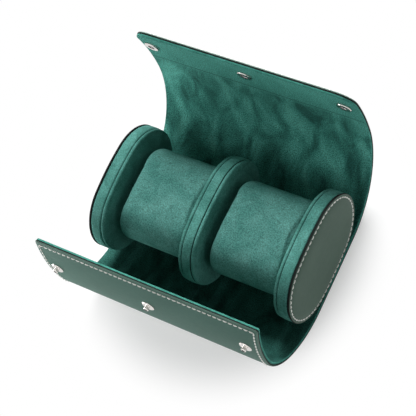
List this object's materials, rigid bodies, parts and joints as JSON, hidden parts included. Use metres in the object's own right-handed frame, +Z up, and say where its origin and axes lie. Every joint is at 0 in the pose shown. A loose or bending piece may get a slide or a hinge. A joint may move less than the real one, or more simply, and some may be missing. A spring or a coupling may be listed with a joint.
{
  "type": "watch storage case",
  "caption": "Open roll-up leather watch case with a curling lid and flap, press studs, oval padded dividers and lift-out strap pillows.",
  "frame": {"origin": "middle of the base's flat underside, on the table", "axes": "X along the roll, +Y towards the lid, +Z up"},
  "size_m": [0.15, 0.1525, 0.1],
  "materials": {
    "leather": "smooth, semi-matt grey-green",
    "lining": "brushed microsuede",
    "suede": "brushed microsuede",
    "foam": "soft foam",
    "nickel": "polished nickel",
    "spring_steel": "bright wire"
  },
  "bodies": {
    "base": {"base_leather": "leather", "base_lining": "lining", "left_divider_band": "suede", "left_divider_core": "foam", "left_divider_face": "suede", "left_divider_panel": "leather", "left_divider_welt": "suede", "middle_divider_band": "suede", "middle_divider_core": "foam", "middle_divider_faces": "suede", "middle_divider_welts": "suede", "right_divider_band": "suede", "right_divider_core": "foam", "right_divider_face": "suede", "right_divider_panel": "leather", "right_divider_welt": "suede"},
    "lid_lower": {"lid_lower_leather": "leather", "lid_lower_lining": "lining"},
    "lid_middle": {"lid_middle_leather": "leather", "lid_middle_lining": "lining"},
    "lid_upper": {"left_socket": "nickel", "lid_upper_leather": "leather", "lid_upper_lining": "lining", "middle_socket": "nickel", "right_socket": "nickel", "snap_caps": "nickel", "socket_springs": "spring_steel"},
    "flap_lower": {"flap_lower_leather": "leather", "flap_lower_lining": "lining"},
    "flap_middle": {"flap_middle_leather": "leather", "flap_middle_lining": "lining"},
    "flap_upper": {"flap_upper_leather": "leather", "flap_upper_lining": "lining", "left_stud": "nickel", "middle_stud": "nickel", "right_stud": "nickel", "stud_rivets": "nickel"},
    "left_pillow": {"left_pillow_cover": "suede", "left_pillow_foam": "foam"},
    "right_pillow": {"right_pillow_cover": "suede", "right_pillow_foam": "foam"}
  },
  "joints": [
    {"name": "lid_fold", "type": "hinge", "parent": "base", "child": "lid_lower", "pos_m": [0, 0.024, 0.003], "axis": [-1, 0, 0], "range_deg": [-34.83, 0]},
    {"name": "lid_curl", "type": "hinge", "parent": "lid_lower", "child": "lid_middle", "pos_m": [0, 0.05729, 0.01628], "axis": [-1, 0, 0], "range_deg": [-27.74, 0]},
    {"name": "lid_tip", "type": "hinge", "parent": "lid_middle", "child": "lid_upper", "pos_m": [0, 0.07526, 0.05116], "axis": [-1, 0, 0], "range_deg": [-27.88, 0]},
    {"name": "flap_fold", "type": "hinge", "parent": "base", "child": "flap_lower", "pos_m": [0, -0.024, 0.003], "axis": [1, 0, 0], "range_deg": [-34.45, 0]},
    {"name": "flap_curl", "type": "hinge", "parent": "flap_lower", "child": "flap_middle", "pos_m": [0, -0.05401, 0.01363], "axis": [1, 0, 0], "range_deg": [-19.26, 0]},
    {"name": "flap_tip", "type": "hinge", "parent": "flap_middle", "child": "flap_upper", "pos_m": [0, -0.06783, 0.04504], "axis": [1, 0, 0], "range_deg": [-21.76, 0]},
    {"name": "left_pillow_lift", "type": "slide", "parent": "base", "child": "left_pillow", "axis": [0, 0, 1], "range_m": [0, 0.05]},
    {"name": "right_pillow_lift", "type": "slide", "parent": "base", "child": "right_pillow", "axis": [0, 0, 1], "range_m": [0, 0.05]}
  ],
  "couplings": [
    {"joint": "lid_tip", "follows": "lid_curl", "ratio": 1.0052},
    {"joint": "flap_tip", "follows": "flap_curl", "ratio": 1.1298}
  ]
}
